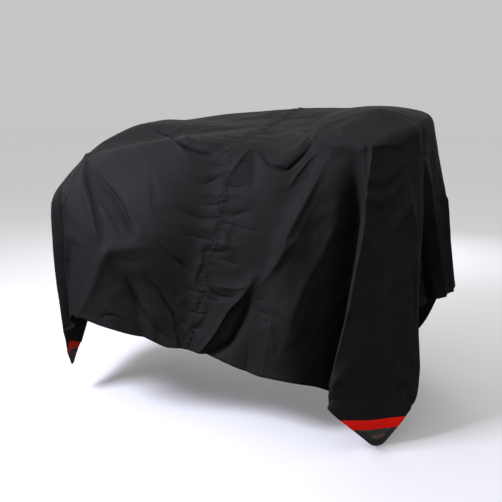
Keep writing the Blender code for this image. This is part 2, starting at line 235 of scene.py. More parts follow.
def stops(cut):
    """The crest, knee and hem that the lines of cloth at these bearings fall past."""
    found = []
    for k in (0, 3, 6):
        bearings, reaches, heights = stop_columns[k:k + 3]
        angle = np.radians(cut + around(cut, row_cuts, bearings - row_cuts))
        reach = around(cut, row_cuts, reaches)
        height = around(cut, row_cuts, heights)
        found.append(np.stack([reach * np.sin(angle), -reach * np.cos(angle), height], -1))
    return found


def flat_reach(cut):
    """Distance from the middle of the flat sheet to its edge at these bearings."""
    angle = np.radians(cut)
    across, back = np.abs(np.sin(angle)), -np.cos(angle)
    length = np.where(back < 0, FRONT_LENGTH, BACK_LENGTH)
    return 1 / np.maximum(across / HALF_WIDTH, np.abs(back) / length)


def hang(flat):
    """Carries points of the flat sheet, x across and y to the back, to where they hang, without folds."""
    cut = np.degrees(np.arctan2(flat[:, 0], -flat[:, 1]))
    middle = np.array([0.0, 0.0, TOP_HEIGHT])
    row_stops = [middle, *stops(row_cuts)]
    lengths = sum(np.linalg.norm(b - a, axis=-1) for a, b in zip(row_stops, row_stops[1:]))
    stretch = around(cut, row_cuts, lengths / flat_reach(row_cuts))
    line_stops = [middle + np.zeros((len(flat), 3)), *stops(cut)]
    runs = [b - a for a, b in zip(line_stops, line_stops[1:])]
    spans = [np.linalg.norm(run, axis=1) for run in runs]
    ways = [run / span[:, None] for run, span in zip(runs, spans)]
    gone = np.hypot(flat[:, 0], flat[:, 1]) * stretch
    point = middle + ways[0] * gone[:, None]
    along_top = np.clip(gone / spans[0], 0, 1)
    off_plane = runs[0][:, 2] - TOP_SLOPE * runs[0][:, 1]
    point[:, 2] -= off_plane * along_top * (1 - along_top) ** 2
    reached = np.zeros(len(flat))
    for k, rounding in ((1, CREST_ROUNDING), (2, KNEE_ROUNDING)):
        reached = reached + spans[k - 1]
        beyond = past(gone - reached, rounding) - past(-reached, rounding)
        point = point + (ways[k] - ways[k - 1]) * beyond[:, None]

    across = point[:, 0] - CONE_MIDDLE[0]
    back = point[:, 1] - CONE_MIDDLE[1]
    far = np.hypot(across, back) / CONE_RADIUS
    tilt_bearing = math.radians(CONE_TILT_BEARING)
    downhill = across * math.sin(tilt_bearing) - back * math.cos(tilt_bearing)
    cone = CONE_RISE * (1 - far) - CONE_SKIRT * np.maximum(far - 1, 0) ** 2
    lift = past(CONE_HEIGHT + cone - CONE_TILT * downhill - point[:, 2], CONE_SOFTNESS)
    point[:, 2] += lift * (1 - smooth_step(gone - spans[0], *CONE_FADE))
    point[:, 2] -= TOP_HEIGHT - OUTER_SIDE
    return point


def outward(flat):
    """Unit normals of the hanging cloth, away from what it covers."""
    step = 1e-3
    across = hang(flat + [step, 0]) - hang(flat - [step, 0])
    back = hang(flat + [0, step]) - hang(flat - [0, step])
    normal = np.cross(across, back)
    return normal / np.linalg.norm(normal, axis=1)[:, None]


# Folds and creases, each along a smooth line on the flat sheet, in millimetres: the widths of its left and
# right slopes, as seen on the way along the line, then the line's points, each with its x, y and rise.
LEFT_END_FOLDS = (
    (45, 40, (-680, -470, 8), (-520, -650, 20), (-460, -760, 24), (-440, -870, 14)),
    (10, 20, (-630, -560, 1), (-500, -660, 5), (-450, -740, 7), (-445, -800, 7), (-440, -850, 5),
        (-425, -910, 2)),
    (12, 50, (-450, -640, -8), (-385, -700, -18), (-355, -735, -22), (-315, -785, -18), (-285, -815, -5)),
    (12, 10, (-440, -715, 1), (-420, -760, 4), (-390, -810, 4), (-355, -835, 0)),
    (16, 30, (-280, -520, 0), (-260, -560, 3), (-253, -620, 4), (-243, -685, 4), (-220, -725, 1)),
    (12, 14, (-250, -540, 0), (-223, -590, 3), (-195, -630, 1)),
    (8, 8, (-500, -585, 0), (-420, -593, -4), (-385, -580, -1)),
    (14, 18, (-620, -440, -1), (-500, -470, -4), (-400, -500, -2)),
    (30, 30, (-590, -775, 2), (-620, -685, 6), (-630, -600, 2)),
    (50, 30, (-700, -1170, 9), (-620, -1120, 13), (-550, -1060, 16), (-490, -1000, 18), (-445, -945, 18),
        (-415, -910, 16), (-380, -885, 13), (-325, -863, 10), (-270, -837, 7), (-220, -820, 2)),
    (90, 80, (-360, -990, -14), (-420, -1190, -24)),
    (8, 12, (-600, -1175, 0), (-545, -1147, -6), (-495, -1135, -7), (-465, -1145, -2)),
    (18, 36, (-380, -960, -1), (-373, -1000, -14), (-370, -1050, -22), (-360, -1090, -24),
        (-345, -1120, -18), (-300, -1143, -13), (-200, -1162, -2)),
    (14, 28, (-285, -910, -1), (-277, -960, -12), (-250, -990, -16), (-225, -1030, -19), (-160, -1075, -14),
        (-30, -1105, -2)),
    (6, 10, (-225, -1090, -1), (-180, -1120, -5), (-120, -1165, -5), (-60, -1185, -2)),
    (8, 22, (-220, -785, -1), (-200, -823, -9), (-175, -850, -11), (-120, -880, -6), (-80, -890, -1)),
    (12, 12, (-285, -845, 1), (-255, -880, 5), (-228, -925, 6), (-190, -970, 2)),
    (10, 14, (-230, -745, 1), (-210, -790, 5), (-180, -835, 6), (-155, -875, 2)),
    (16, 16, (-780, -600, 0), (-660, -680, 4), (-580, -700, 2)),
    (22, 8, (-570, -760, 3), (-585, -800, 12), (-615, -900, 18), (-690, -1000, 20), (-730, -1070, 20),
        (-730, -1190, 18)),
    (16, 90, (-610, -775, -8), (-635, -810, -50), (-665, -900, -60), (-740, -1000, -60), (-775, -1080, -55),
        (-775, -1190, -50)),
    (65, 28, (-720, -680, -8), (-822, -806, -100), (-882, -906, -160), (-977, -1031, -160),
        (-1012, -1165, -120)),
    (12, 40, (-770, -680, 0), (-850, -785, 22), (-910, -885, 34), (-1005, -1010, 34), (-1045, -1160, 24)),
)
LEFT_TOP_FOLDS = (
    (8, 9, (-530, -150, -10), (-440, -190, -20), (-350, -250, -27), (-250, -340, -31), (-175, -405, -30),
        (-140, -420, -28), (-100, -423, -18), (-65, -420, -3)),
    (12, 20, (-500, -175, 1), (-345, -295, 5), (-165, -430, 6), (-130, -440, 2)),
    (20, 18, (-360, -170, 3), (-240, -280, 7), (-150, -370, 8), (-70, -385, 4)),
    (10, 12, (-300, -200, 0), (-160, -310, -4), (-20, -310, -3)),
    (10, 12, (-260, -130, 0), (-140, -250, -3.5), (-20, -265, -3)),
    (10, 10, (-200, -60, 0), (-100, -170, -3), (-10, -200, -3)),
    (10, 12, (-140, -395, 0), (-90, -375, -5), (-20, -350, -4)),
    (10, 12, (-60, -435, 3), (-10, -370, 6)),
    (10, 12, (-25, -220, 3), (-30, -140, 5), (-30, -60, 2)),
    (12, 14, (-90, 160, 2), (-85, 240, 5), (-75, 300, 2)),
)
LEFT_SEAM_FOLDS = (
    (14, 6, (-120, -532, -1), (-90, -543, -6), (-60, -525, -6), (-15, -498, -3)),
    (24, 14, (-130, -505, 1), (-70, -505, 5), (-10, -475, 2)),
    (10, 6, (-130, -455, -1), (-60, -460, -4), (-10, -455, -3)),
    (20, 20, (-140, -580, 1), (-80, -578, 6), (-10, -565, 3)),
    (10, 5, (-95, -617, -1), (-60, -617, -5), (-8, -607, -4)),
    (20, 6, (-180, -650, -1), (-140, -667, -7), (-110, -673, -10), (-65, -673, -10), (-5, -663, -5)),
    (20, 20, (-150, -700, 1), (-70, -705, 6), (-10, -700, 4)),
    (18, 6, (-150, -748, -1), (-100, -750, -7), (-50, -750, -9), (-6, -751, -5)),
    (14, 12, (-100, -800, 0), (-50, -800, -5), (-10, -790, -4)),
    (14, 14, (-90, -840, 0), (-50, -845, 5), (-10, -840, 3)),
    (12, 6, (-165, -930, -1), (-100, -954, -5), (-10, -960, -5)),
    (10, 8, (-130, -1015, -1), (-60, -1040, -6), (-10, -1035, -4)),
    (10, 12, (-110, -985, 1), (-50, -1000, 4), (-10, -1000, 3)),
)
RIGHT_SEAM_FOLDS = (
    (14, 10, (48, -350, 4), (36, -420, 10), (20, -460, 7), (10, -480, 2)),
    (34, 26, (50, -330, -4), (75, -430, -11), (90, -490, -9), (100, -550, -2)),
    (10, 5, (8, -530, -7), (50, -529, -5), (86, -517, -2), (120, -510, 0)),
    (18, 14, (4, -570, 4), (50, -560, 5), (90, -560, 0)),
    (18, 8, (5, -648, -3), (55, -642, -7), (95, -623, -7), (130, -612, -1)),
    (8, 6, (10, -672, -3), (77, -676, -4), (120, -682, -4), (180, -676, -1)),
    (8, 6, (30, -695, -2), (60, -710, -5), (85, -725, -1)),
    (20, 20, (10, -750, 4), (70, -755, 7), (140, -750, 1)),
    (13, 8, (4, -790, -4), (50, -785, -5), (90, -770, -1)),
    (12, 5, (50, -816, -3), (114, -817, -5), (167, -823, -1)),
    (24, 10, (55, -920, 2), (120, -915, 7), (175, -905, 7), (220, -880, 2)),
    (18, 7, (35, -922, -3), (73, -948, -12), (117, -954, -15), (167, -942, -9), (190, -930, -1)),
    (8, 6, (20, -968, -2), (90, -973, -5), (130, -967, -1)),
    (10, 6, (4, -1040, -3), (50, -1035, -5), (80, -1030, 0)),
    (10, 6, (4, -1100, -3), (40, -1100, -5), (70, -1090, 0)),
)
RIGHT_FRONT_FOLDS = (
    (20, 8, (55, -325, -1), (84, -374, -10), (110, -424, -18), (135, -443, -24), (158, -453, -25),
        (168, -430, -24), (176, -400, -18), (184, -350, -3)),
    (12, 14, (150, -380, 3), (155, -330, 7), (190, -240, 2)),
    (12, 8, (240, -420, 2), (214, -438, 7), (205, -467, 9), (198, -492, 7), (193, -540, 0)),
    (50, 34, (285, -450, 3), (280, -480, 13), (290, -520, 22), (295, -585, 28), (305, -660, 34),
        (315, -720, 37), (330, -750, 37), (320, -800, 30), (270, -850, 8)),
    (30, 25, (330, -530, 0), (330, -575, 3), (340, -670, 5), (347, -735, 5), (335, -780, 4), (320, -820, 2),
        (290, -870, 0)),
    (40, 50, (350, -465, 1), (360, -500, 4), (395, -560, 6), (410, -610, 7), (445, -660, 8), (470, -750, 8),
        (475, -800, 8), (470, -860, 8), (480, -930, 8), (500, -1040, 6), (520, -1140, 3)),
    (10, 26, (480, -535, -4), (530, -590, -14), (587, -642, -18), (662, -705, -20), (740, -782, -20),
        (820, -860, -18), (893, -942, -14), (970, -1060, -8)),
    (12, 7, (480, -500, 1), (540, -573, 4), (600, -626, 6), (677, -688, 7), (755, -767, 8), (833, -845, 9),
        (905, -926, 9), (998, -1048, 7), (1050, -1130, 5)),
    (10, 40, (225, -875, 6), (210, -930, 18), (190, -970, 22), (172, -1012, 24), (158, -1068, 24),
        (134, -1124, 22), (95, -1185, 16)),
    (30, 16, (235, -910, -3), (240, -960, -26), (240, -1020, -42), (235, -1060, -45), (220, -1120, -42),
        (160, -1170, -26), (120, -1190, -18)),
    (6, 10, (250, -915, 0), (290, -922, -4), (330, -926, 0)),
    (6, 10, (280, -955, 0), (330, -965, -4), (370, -970, 0)),
    (6, 10, (310, -985, 0), (360, -995, -4), (420, -1000, 0)),
    (22, 26, (360, -940, 1), (400, -1020, 6), (440, -1120, 6), (460, -1190, 4)),
    (30, 30, (310, -1060, -2), (340, -1130, -6), (360, -1190, -8)),
)
CORNER_FALL_FOLDS = (
    (30, 10, (200, -350, 1), (247, -418, 4), (294, -446, 6), (344, -462, 6), (406, -484, 7), (478, -493, 7),
        (516, -460, 7), (556, -434, 6), (586, -396, 6), (622, -345, 5), (665, -235, 2)),
    (12, 15, (440, -280, 0), (475, -350, 4), (520, -440, 3)),
    (12, 14, (410, -240, 1), (320, -260, 4), (220, -300, 2)),
    (10, 12, (460, -270, 0), (560, -330, 3), (620, -360, 2)),
    (12, 14, (480, -495, 5), (520, -550, 8), (600, -620, 3)),
    (10, 12, (455, -500, -4), (500, -565, -5), (560, -630, -1)),
    (12, 20, (520, -465, -4), (560, -520, -6), (620, -580, 0)),
    (20, 40, (580, -420, 3), (670, -480, 8), (800, -530, 12), (980, -580, 12), (1150, -680, 5)),
    (18, 20, (610, -640, 3), (710, -710, 6), (790, -810, 7), (880, -910, 7), (970, -1030, 5),
        (1070, -1160, 4)),
    (50, 60, (660, -560, -4), (800, -740, -9), (960, -920, -6)),
    (30, 40, (900, -700, 2), (1050, -820, 7), (1200, -960, 3)),
    (10, 12, (1260, -960, -2), (1310, -985, -7), (1365, -1000, -7)),
    (10, 12, (1280, -930, -1), (1330, -950, -6), (1375, -965, -6)),
    (12, 16, (1090, -1180, -6), (1130, -1145, -5), (1180, -1120, 0)),
)
RIGHT_END_FOLDS = (
    (12, 14, (630, -330, -3), (700, -355, -6), (780, -385, -1)),
    (30, 40, (700, -360, 4), (880, -290, 14), (1100, -235, 20), (1370, -210, 16)),
    (36, 45, (740, -370, -4), (870, -355, -40), (1030, -315, -85), (1190, -295, -95), (1370, -300, -60)),
    (14, 16, (1140, -380, 2), (1210, -310, 18), (1300, -270, 10)),
    (12, 14, (1180, -400, -2), (1260, -340, -16), (1350, -320, -10)),
    (12, 12, (1240, -380, 3), (1300, -340, 14), (1360, -350, 6)),
    (50, 50, (940, -560, -12), (1350, -850, -12)),
    (70, 70, (980, -60, 20), (1370, -120, 20)),
    (80, 80, (780, 100, -20), (1370, 180, -20)),
    (70, 80, (720, 220, 18), (1370, 440, 18)),
    (14, 18, (740, -20, -2), (900, -50, -6), (1080, -30, -1)),
    (16, 20, (700, 120, -2), (840, 180, 7), (1060, 240, 2)),
    (14, 18, (920, 340, 1), (1100, 420, 7), (1300, 550, 4)),
    (14, 18, (1020, 140, -1), (1180, 160, -7), (1370, 150, -4)),
)
BACK_FOLDS = (
    (80, 70, (460, 500, -18), (860, 860, -18)),
    (70, 80, (200, 500, 16), (300, 860, 16)),
    (70, 70, (60, 500, -12), (20, 860, -12)),
    (70, 80, (-200, 500, 16), (-240, 860, 16)),
    (80, 70, (-420, 540, -16), (-580, 860, -16)),
    (70, 80, (-660, 500, 18), (-980, 860, 18)),
    (16, 22, (340, 400, 1), (420, 520, 7), (540, 680, 4)),
    (14, 18, (560, 420, -1), (700, 520, -6), (900, 640, -2)),
    (18, 24, (100, 440, 1), (130, 580, 7), (140, 760, 3)),
    (14, 18, (-100, 420, -1), (-120, 540, -6), (-120, 700, -2)),
    (16, 22, (-300, 440, 1), (-360, 580, 7), (-400, 780, 4)),
    (14, 18, (-500, 420, -1), (-620, 540, -6), (-760, 700, -3)),
    (12, 16, (-260, 100, 0), (-140, 160, -4), (-10, 160, -3)),
    (12, 16, (10, 120, -3), (120, 130, -4), (260, 80, 0)),
    (12, 16, (-220, 360, 0), (-120, 340, -4), (-10, 350, -3)),
    (12, 16, (10, 330, -3), (140, 350, -5), (280, 400, 0)),
    (12, 16, (10, 620, -4), (100, 600, -5), (170, 620, 0)),
    (12, 16, (-180, 560, 0), (-90, 580, -5), (-10, 600, -4)),
    (12, 16, (10, 760, -4), (90, 770, -5), (160, 750, 0)),
)
LEFT_SIDE_FOLDS = (
    (80, 80, (-800, 260, -16), (-1370, 400, -16)),
    (70, 80, (-800, 60, 20), (-1370, 100, 20)),
    (70, 70, (-840, -140, -18), (-1370, -200, -18)),
    (70, 70, (-920, -340, 14), (-1370, -500, 14)),
    (16, 20, (-740, 140, 1), (-900, 180, 7), (-1140, 240, 2)),
    (14, 18, (-760, -40, -1), (-940, -40, -6), (-1160, -60, -2)),
    (16, 20, (-820, -240, 1), (-1000, -280, 7), (-1260, -360, 3)),
    (14, 18, (-900, 340, -1), (-1060, 420, -6), (-1280, 540, -3)),
    (14, 18, (-920, -480, -1), (-1080, -620, -7), (-1240, -820, -3)),
    (12, 16, (-1140, 20, 1), (-1240, 0, 5), (-1360, 20, 3)),
)
# Straight, faint ridges where the cover was folded for its bag.
BAG_FOLDS = (
    (6, 6, (-1200, -720, 0.8), (-100, -720, 1.2)),
    (6, 6, (-700, -1150, 1), (-700, 800, 1)),
    (6, 6, (700, 100, 1), (700, 800, 1)),
    (6, 6, (-1300, 300, 1), (1300, 300, 1)),
)
PLACED_FOLDS = (
    LEFT_END_FOLDS + LEFT_TOP_FOLDS + LEFT_SEAM_FOLDS + RIGHT_SEAM_FOLDS + RIGHT_FRONT_FOLDS
    + CORNER_FALL_FOLDS + RIGHT_END_FOLDS + BACK_FOLDS + LEFT_SIDE_FOLDS + BAG_FOLDS
)
MM_PER_METRE = 1000
FOLDS = [
    (left / MM_PER_METRE, right / MM_PER_METRE, np.array(points, float) / MM_PER_METRE)
    for left, right, *points in PLACED_FOLDS
]


def fold_line(points, steps=6):
    """Points and rises close together on a smooth line through the given ones."""
    points = np.array(points, float)
    if len(points) == 2:
        return points
    ends = [2 * points[0] - points[1], *points, 2 * points[-1] - points[-2]]
    line = []
    for a, b, c, d in zip(ends, ends[1:], ends[2:], ends[3:]):
        for t in np.linspace(0, 1, steps, endpoint=False):
            bend = (2 * a - 5 * b + 4 * c - d) * t**2 + (3 * b - a - 3 * c + d) * t**3
            line.append(0.5 * (2 * b + (c - a) * t + bend))
    line.append(points[-1])
    return np.array(line)


NEAR_REACH = 3


def near_fold(flat, fold):
    """The points near a fold: which ones, how far from its line, its rise there, the width of their slope."""
    left, right, points = fold
    line = fold_line(points)
    reach = NEAR_REACH * max(left, right)
    low, high = line[:, :2].min(0) - reach, line[:, :2].max(0) + reach
    near = np.flatnonzero(((flat > low) & (flat < high)).all(1))
    spots = flat[near]
    apart = np.full(len(near), np.inf)
    size = np.zeros(len(near))
    width = np.full(len(near), right)
    for a, b in zip(line, line[1:]):
        way = b[:2] - a[:2]
        gone = spots - a[:2]
        share = np.clip(gone @ way / (way @ way), 0, 1)
        far = np.linalg.norm(gone - share[:, None] * way, axis=1)
        closer = far < apart
        apart = np.where(closer, far, apart)
        size = np.where(closer, a[2] + (b[2] - a[2]) * share, size)
        on_left = way[0] * gone[:, 1] - way[1] * gone[:, 0] > 0
        width = np.where(closer, np.where(on_left, left, right), width)
    return near, apart, size, width


SLOPE_REACH = 2.2
CREASE_REACH = 0.6
CREASE_SHARE = 0.4
CREASE_ROUNDING = 0.0018
CREASE_SOFTNESS = 0.05


def fold_rise(flat, folds):
    """How far each point of the flat sheet is lifted by these folds: long slopes with a crisp crease."""
    rise = np.zeros(len(flat))
    for fold in folds:
        near, apart, size, width = near_fold(flat, fold)
        rounding = CREASE_ROUNDING + width * CREASE_SOFTNESS
        share = (np.hypot(apart, rounding) - rounding) / width
        slope = (1 - CREASE_SHARE) * np.clip(1 - share / SLOPE_REACH, 0, None) ** 2
        crease = CREASE_SHARE * np.clip(1 - share / CREASE_REACH, 0, None) ** 2
        rise[near] += size * (slope + crease)
    return rise


PUCKER_SEED = 11
PUCKER_START = 0.003
PUCKER_END_SPACE = 0.01
PUCKER_SWING = 0.2
PUCKER_SEAM_SHARE = 0.7


def seam_puckers(side, spacing, lengths, widths, rises, slant):
    """Wrinkles that run out from the puckered seam on one side of it, between these least and most sizes."""
    chance = np.random.default_rng(PUCKER_SEED + side)
    folds = []
    y = PUCKER_END_SPACE - FRONT_LENGTH
    while y < BACK_LENGTH - PUCKER_END_SPACE:
        length = chance.uniform(*lengths)
        climb = (slant + chance.uniform(-PUCKER_SWING, PUCKER_SWING)) * length
        width = chance.uniform(*widths)
        rise = chance.choice([-1, 1]) * chance.uniform(*rises)
        folds.append((width, width, (
            (side * PUCKER_START, y, PUCKER_SEAM_SHARE * rise),
            (side * length / 3, y + climb / 4, rise),
            (side * length, y + climb, 0.0),
        )))
        y += chance.uniform(*spacing)
    return folds


# Short and long puckers: their spacing, length, width and rise.
PUCKER_KINDS = (
    ((0.009, 0.015), (0.014, 0.032), (0.005, 0.007), (0.0012, 0.0026)),
    ((0.026, 0.052), (0.045, 0.120), (0.008, 0.012), (0.0016, 0.0036)),
)
PUCKER_SLANTS = {-1: 0.22, 1: 0.0}
PUCKERS = []
for side, slant in PUCKER_SLANTS.items():
    for kind in PUCKER_KINDS:
        PUCKERS += seam_puckers(side, *kind, slant)
BEAD_LENGTH = 0.0115
BEAD_HEIGHT = 0.0026
BEAD_WIDTH = 0.0085
BEAD_DRIFT_LENGTH = 0.03
BEAD_CHANGE = 0.8
BEAD_CHANGE_LENGTH = 0.02
SEAM_GROOVE = 0.0022
SEAM_GROOVE_WIDTH = 0.0042
SEAM_GROOVE_PLACE = -0.0035
SEAM_SWAY = 0.0028
SWAY_LENGTH = 0.055
SWAY_WIDTH = 0.04
WAVES = ((0.16, 0.0022), (0.045, 0.0006))
HEM = 0.018
HEM_PUCKER = 0.0005
HEM_PUCKER_LENGTH = 0.011


def grain(x, y, size, layer):
    """Smooth noise with lumps of about this size, one value for each point."""
    return np.array([noise.noise(Vector((a / size, b / size, layer))) for a, b in zip(x, y)])


def edge_inset(flat):
    """How far inside the sheet's edge each point is."""
    from_ends = np.minimum(flat[:, 1] + FRONT_LENGTH, BACK_LENGTH - flat[:, 1])
    return np.minimum(HALF_WIDTH - np.abs(flat[:, 0]), from_ends)


def drape(flat, lift):
    """Where points of the flat sheet hang with all folds, this far outside the cloth's outer side."""
    x, y = flat.T
    rise = fold_rise(flat, FOLDS) + fold_rise(flat, PUCKERS) + lift
    for size, height in WAVES:
        rise += height * grain(x, y, size, 3.0)
    beads = np.abs(np.sin(math.pi * (y / BEAD_LENGTH + grain(0 * y, y, BEAD_DRIFT_LENGTH, 5.0))))
    beads *= 1 + BEAD_CHANGE * grain(0 * y, y, BEAD_CHANGE_LENGTH, 6.0)
    rise += BEAD_HEIGHT * beads * np.exp(-((x / BEAD_WIDTH) ** 2))
    rise -= SEAM_GROOVE * np.exp(-(((x - SEAM_GROOVE_PLACE) / SEAM_GROOVE_WIDTH) ** 2))
    rise += HEM_PUCKER * grain(x, y, HEM_PUCKER_LENGTH, 8.0) * np.exp(-((edge_inset(flat) / HEM) ** 2))
    sway = SEAM_SWAY * grain(0 * y, y, SWAY_LENGTH, 7.0) * np.exp(-((x / SWAY_WIDTH) ** 2))
    moved = np.stack([x + sway, y], 1)
    return hang(moved) + rise[:, None] * outward(moved)


STAIN_SCALE = 3.2
GLOSS_CHANGE = 0.05
WEAVE_WANDER = 0.6
WEAVE_STRENGTH = 0.35
CRUMPLE_SCALE = 7.0
CRUMPLE_WANDER = 0.6


def woven(name, colour, roughness, specular, thread, stains=0.18, bump_height=0.0002, crumple=0.0, flat=True):
    """Woven cloth: threads of this width in metres, faint stains, and fine creases of this height.

    Its pattern lies on the flat cloth, or for thread on the piece itself.
    """
    made = bpy.data.materials.new(name)
    made.use_nodes = True
    tree = made.node_tree
    links = tree.links
    shader = tree.nodes["Principled BSDF"]
    shader.inputs["Specular IOR Level"].default_value = specular
    if flat:
        cloth_map = tree.nodes.new("ShaderNodeUVMap")
        cloth_map.uv_map = "cloth"
        spot = cloth_map.outputs["UV"]
    else:
        spot = tree.nodes.new("ShaderNodeTexCoord").outputs["Object"]

    clouds = shader_node(tree, "ShaderNodeTexNoise", Scale=STAIN_SCALE, Detail=5)
    links.new(spot, clouds.inputs["Vector"])
    shade = shader_node(tree, "ShaderNodeMapRange", To_Min=1 - stains, To_Max=1 + stains)
    links.new(clouds.outputs["Fac"], shade.inputs["Value"])
    dye = tree.nodes.new("ShaderNodeVectorMath")
    dye.operation = "SCALE"
    dye.inputs[0].default_value = colour
    links.new(shade.outputs["Result"], dye.inputs["Scale"])
    links.new(dye.outputs["Vector"], shader.inputs["Base Color"])
    dull, shiny = roughness + GLOSS_CHANGE, roughness - GLOSS_CHANGE
    gloss = shader_node(tree, "ShaderNodeMapRange", To_Min=shiny, To_Max=dull)
    links.new(clouds.outputs["Fac"], gloss.inputs["Value"])
    links.new(gloss.outputs["Result"], shader.inputs["Roughness"])

    weave = tree.nodes.new("ShaderNodeMath")
    weave.operation = "MULTIPLY"
    per_metre = math.pi / (10 * thread)
    for k, direction in enumerate(("X", "Y")):
        wave = shader_node(tree, "ShaderNodeTexWave", Scale=per_metre, Distortion=WEAVE_WANDER, Detail=1)
        wave.bands_direction = direction
        links.new(spot, wave.inputs["Vector"])
        links.new(wave.outputs["Fac"], weave.inputs[k])
    bump = shader_node(tree, "ShaderNodeBump", Strength=WEAVE_STRENGTH, Distance=bump_height)
    links.new(weave.outputs["Value"], bump.inputs["Height"])
    links.new(bump.outputs["Normal"], shader.inputs["Normal"])
    if crumple:
        creases = tree.nodes.new("ShaderNodeTexNoise")
        creases.noise_type = "RIDGED_MULTIFRACTAL"
        creases.inputs["Scale"].default_value = CRUMPLE_SCALE
        creases.inputs["Detail"].default_value = 4
        creases.inputs["Distortion"].default_value = CRUMPLE_WANDER
        links.new(spot, creases.inputs["Vector"])
        crumpled = shader_node(tree, "ShaderNodeBump", Strength=1, Distance=crumple)
        links.new(creases.outputs["Fac"], crumpled.inputs["Height"])
        links.new(crumpled.outputs["Normal"], bump.inputs["Normal"])
    return made


NYLON_THREAD = 0.0005
cover_nylon = woven("cover_nylon", (0.0115, 0.0114, 0.0117), 0.55, 0.02, NYLON_THREAD, crumple=0.022)


def hung_piece(name, tool, cloth, thickness=CLOTH):
    """Hangs a flat mesh, whose z is its height over the cloth, and gives it its thickness inwards.

    Its place on the flat cloth is kept as the UV map.
    """
    spots = np.array([vert.co[:] for vert in tool.verts])
    uv = tool.loops.layers.uv.new("cloth")
    for face in tool.faces:
        for loop in face.loops:
            loop[uv].uv = loop.vert.co[:2]
    for vert, place in zip(tool.verts, drape(spots[:, :2], spots[:, 2])):
        vert.co = place
    mesh = bpy.data.meshes.new(name)
    tool.to_mesh(mesh)
    tool.free()
    mesh.shade_smooth()
    mesh.materials.append(cloth)
    piece = placed(name, mesh)
    solid = piece.modifiers.new("thickness", "SOLIDIFY")
    solid.thickness = thickness
    solid.offset = -1
    return piece


GRID = 0.0125
# Two rounds that halve the grid: near folds up to this wide and at least this steep, as far from them as
# this many widths, and this close to the seam and to the hem.
FINER_ROUNDS = (
    (0.055, 0.16, 1.1, 0.040, 0.020),
    (0.024, 0.38, 0.7, 0.012, 0.0),
)


def sharpen(tool, widest, steepness, reach, seam, hem):
    """Halves the grid near folds that are this narrow and this steep, and along the seam and the hem."""
    middles = np.array([face.calc_center_median()[:2] for face in tool.faces])
    close = (np.abs(middles[:, 0]) < seam) | (edge_inset(middles) < hem)
    for fold in FOLDS:
        near, apart, size, width = near_fold(middles, fold)
        steep = (width < widest) & (np.abs(size) > steepness * width)
        close[near[steep & (apart < reach * width + GRID / 4)]] = True
    edges = {edge for face, chosen in zip(tool.faces, close) if chosen for edge in face.edges}
    bmesh.ops.subdivide_edges(tool, edges=list(edges), cuts=1, use_grid_fill=True)


def cloth_panel(name, side):
    """One half of the sheet on a grid that is finer at its creases, with its two corners cut off."""
    across = round(HALF_WIDTH / GRID)
    down = round((FRONT_LENGTH + BACK_LENGTH) / GRID)
    tool = bmesh.new()
    bmesh.ops.create_grid(tool, x_segments=across, y_segments=down, size=0.5)
    for vert in tool.verts:
        vert.co.x = side * (vert.co.x + 0.5) * HALF_WIDTH
        vert.co.y = (vert.co.y + 0.5) * (FRONT_LENGTH + BACK_LENGTH) - FRONT_LENGTH
    if side < 0:
        bmesh.ops.reverse_faces(tool, faces=tool.faces)
    for edge in (-FRONT_LENGTH, BACK_LENGTH):
        bmesh.ops.bisect_plane(
            tool,
            geom=tool.verts[:] + tool.edges[:] + tool.faces[:],
            plane_co=(side * (HALF_WIDTH - BAND_CUT), edge, 0),
            plane_no=(side, math.copysign(1, edge), 0),
            clear_outer=True,
        )
    for finer in FINER_ROUNDS:
        sharpen(tool, *finer)
    return hung_piece(name, tool, cover_nylon)


panel_left = cloth_panel("left_panel", -1)
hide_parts("panel_left")
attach(panel_left, "root")


# The right panel: the other half of the sheet, of the same nylon, cut and hemmed like the left one and sewn
# to it at the seam. It rises to the low cone and falls to the near corner.
panel_right = cloth_panel("right_panel", 1)
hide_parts("panel_right")
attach(panel_right, "root")


# The hems: each panel's outer edges are turned in once and stitched down, so a second layer of the same
# nylon shows inside along its edges.
HEM_GAP = 0.0003
HEM_STEP = 0.010
HEM_INSETS = (0.0, 0.006, 0.012, HEM)


def hem_path(side, inset):
    """Points along the outer edges of one panel, from the front seam's end round to the back one's."""
    x, front, back = HALF_WIDTH - inset, inset - FRONT_LENGTH, BACK_LENGTH - inset
    cut = BAND_CUT - inset
    turns = [(0, front), (x - cut, front), (x, front + cut), (x, back - cut), (x - cut, back), (0, back)]
    runs = []
    for k in (0, 2, 4):
        (a, b), (c, d) = turns[k], turns[k + 1]
        count = max(2, round(math.hypot(c - a, d - b) / HEM_STEP))
        runs.append([(side * (a + (c - a) * i / count), b + (d - b) * i / count) for i in range(count + 1)])
    return runs


def sheet_between(tool, lines):
    """Adds a flat sheet between lines of points that all have the same number of points."""
    rows = [[tool.verts.new(point) for point in line] for line in lines]
    for row, next_row in zip(rows, rows[1:]):
        for k in range(len(row) - 1):
            tool.faces.new((row[k], row[k + 1], next_row[k + 1], next_row[k]))


def face_up(tool):
    """Turns the faces of a flat mesh so that all face away from what the cloth covers."""
    tool.normal_update()
    bmesh.ops.reverse_faces(tool, faces=[face for face in tool.faces if face.normal.z < 0])


hem_folds = {}
for name, side in (("left_hem", -1), ("right_hem", 1)):
    tool = bmesh.new()
    for k in range(3):
        lines = [hem_path(side, inset)[k] for inset in HEM_INSETS]
        count = min(len(line) for line in lines)
        sheet_between(tool, [[(x, y, -CLOTH - HEM_GAP) for x, y in line[:count]] for line in lines])
    face_up(tool)
    hem_folds[side] = hung_piece(name, tool, cover_nylon)
    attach(hem_folds[side], "root")


